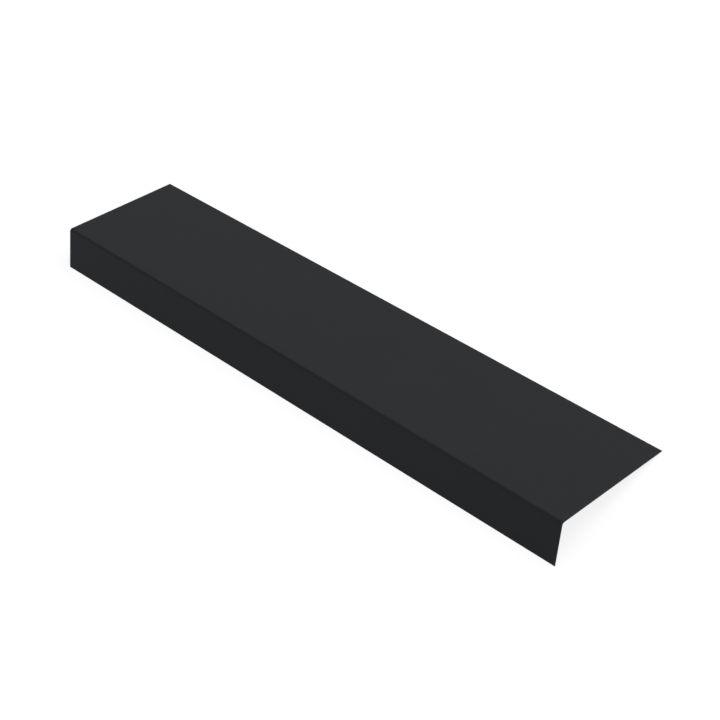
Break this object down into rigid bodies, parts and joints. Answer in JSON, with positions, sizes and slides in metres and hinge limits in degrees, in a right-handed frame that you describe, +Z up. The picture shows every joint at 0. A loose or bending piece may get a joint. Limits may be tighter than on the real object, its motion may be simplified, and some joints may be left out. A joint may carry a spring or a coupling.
{
  "type": "eaves tray",
  "caption": "Long thin coated steel eaves tray: a wide flat plate with a narrow lip folded down and slightly outward along its front edge.",
  "frame": {"origin": "on the floor, below the middle of the tray's bounding box", "axes": "+X along the eaves, +Y up the roof from the lip towards the plate's back edge, +Z up. The tray stands astride, on the free edge of its lip and the back edge of its plate, so the plate leans back by 17.37 degrees"},
  "size_m": [1.25, 0.278, 0.0756],
  "materials": {
    "coated_steel": "satin anthracite coil coating with a very fine grain"
  },
  "bodies": {
    "root": {"folded_tray": "coated_steel"}
  },
  "joints": []
}
